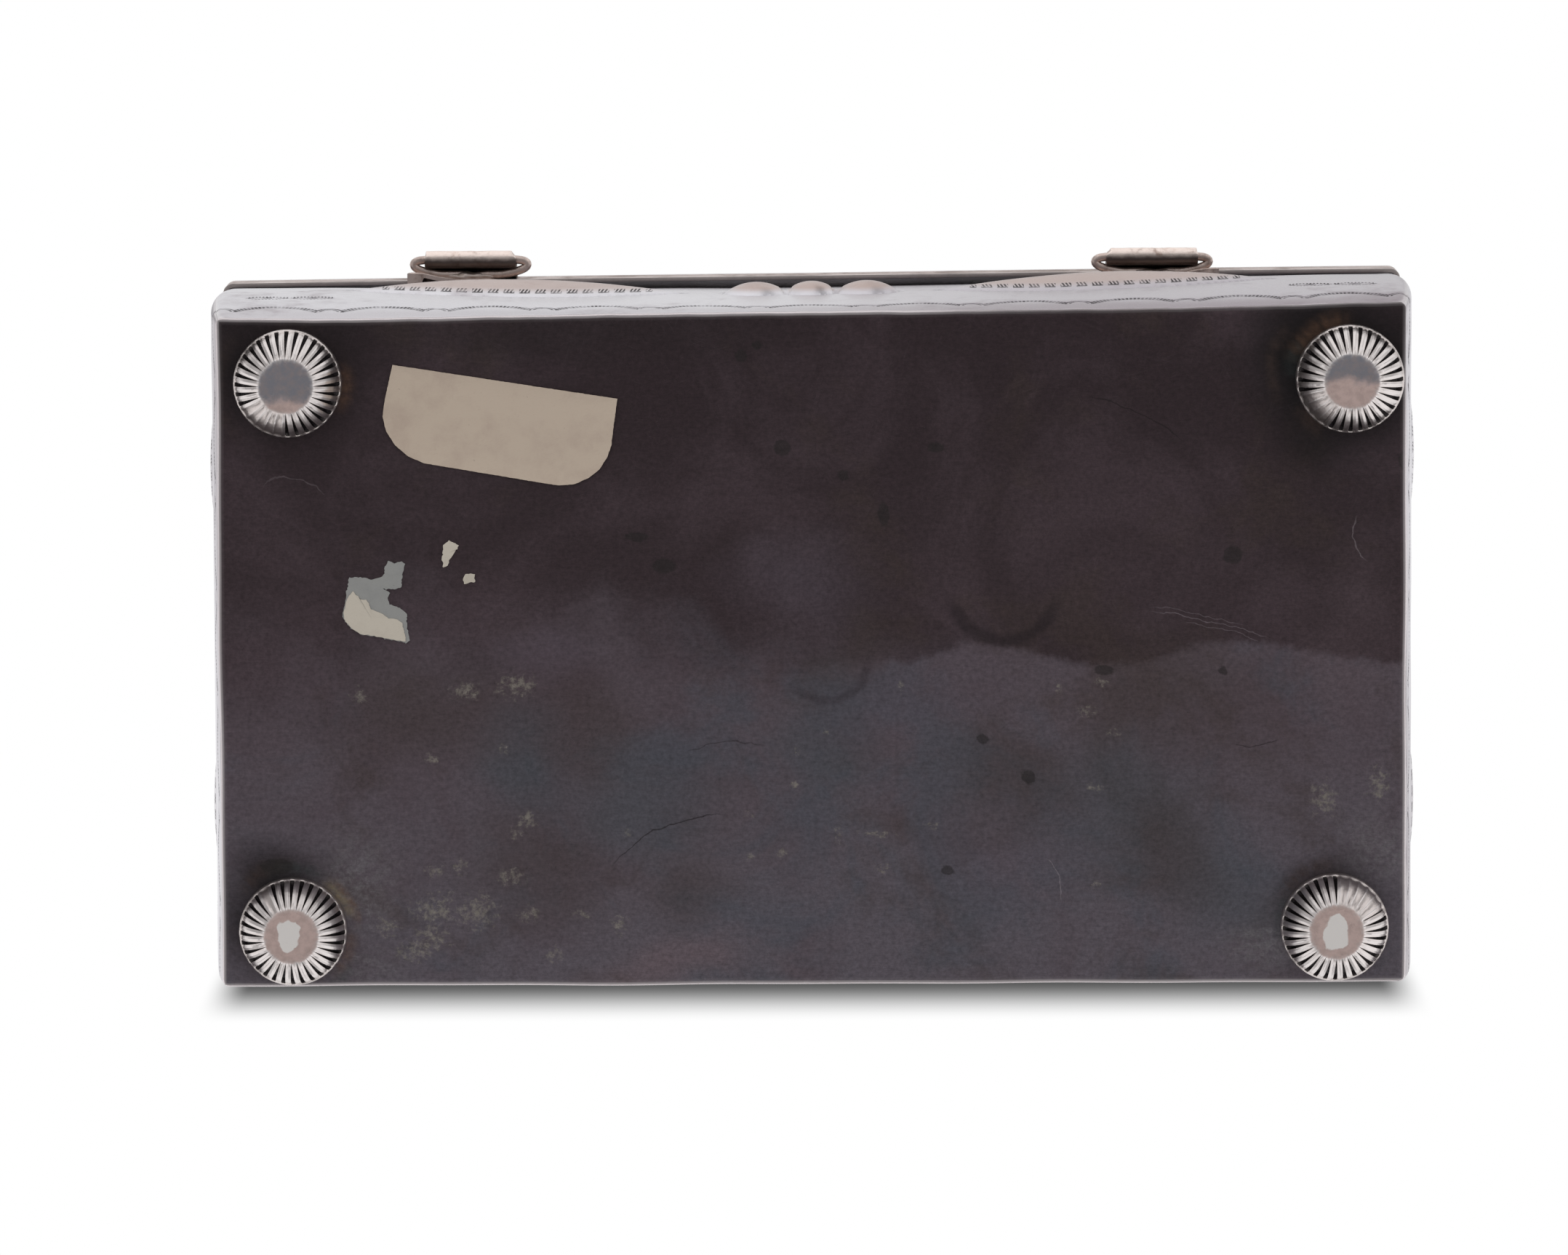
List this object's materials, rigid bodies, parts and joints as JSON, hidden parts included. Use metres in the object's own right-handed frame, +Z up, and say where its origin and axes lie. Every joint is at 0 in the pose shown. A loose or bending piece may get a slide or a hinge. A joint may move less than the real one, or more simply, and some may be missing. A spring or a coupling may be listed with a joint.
{
  "type": "inlaid silver box",
  "caption": "Shallow rectangular silver box with swollen walls, raised leaves, fluted button feet and a hinged lid set with stone inlay.",
  "frame": {"origin": "middle of the whole box's footprint, on the surface that the feet stand on", "axes": "+X along the length, from left to right; +Y towards the back, where the hinges are; +Z up"},
  "size_m": [0.1406, 0.0852, 0.053],
  "materials": {
    "tarnished_silver": "silver with a dark purple-brown tarnish",
    "wall_silver": "polished silver, dark in the stamped marks",
    "foot_silver": "worn silver, dark in the flutes",
    "hinge_silver": "silver with a warm brown tarnish",
    "lid_silver": "polished silver with a light warm tarnish",
    "turquoise": "polished stone with a fine dark matrix",
    "coral": "polished"
  },
  "bodies": {
    "box": {"bottom_plate": "tarnished_silver", "front_wall": "wall_silver", "back_wall": "wall_silver", "left_wall": "wall_silver", "right_wall": "wall_silver", "foot_front_left": "foot_silver", "foot_front_right": "foot_silver", "foot_back_left": "foot_silver", "foot_back_right": "foot_silver", "hinge_base_left": "hinge_silver", "hinge_base_right": "hinge_silver", "hinge_ring_left": "hinge_silver", "hinge_ring_right": "hinge_silver"},
    "lid": {"lid_plate": "lid_silver", "lid_skirt": "lid_silver", "hinge_strap_left": "hinge_silver", "hinge_strap_right": "hinge_silver", "inlay_frame": "lid_silver", "inlay_bezel": "lid_silver", "middle_stone": "turquoise", "turquoise_stones": "turquoise", "coral_stones": "coral"}
  },
  "joints": [
    {"name": "lid_hinge", "type": "hinge", "parent": "box", "child": "lid", "pos_m": [0, 0.04151, 0.04115], "axis": [-1, 0, 0], "range_deg": [0, 200]}
  ]
}
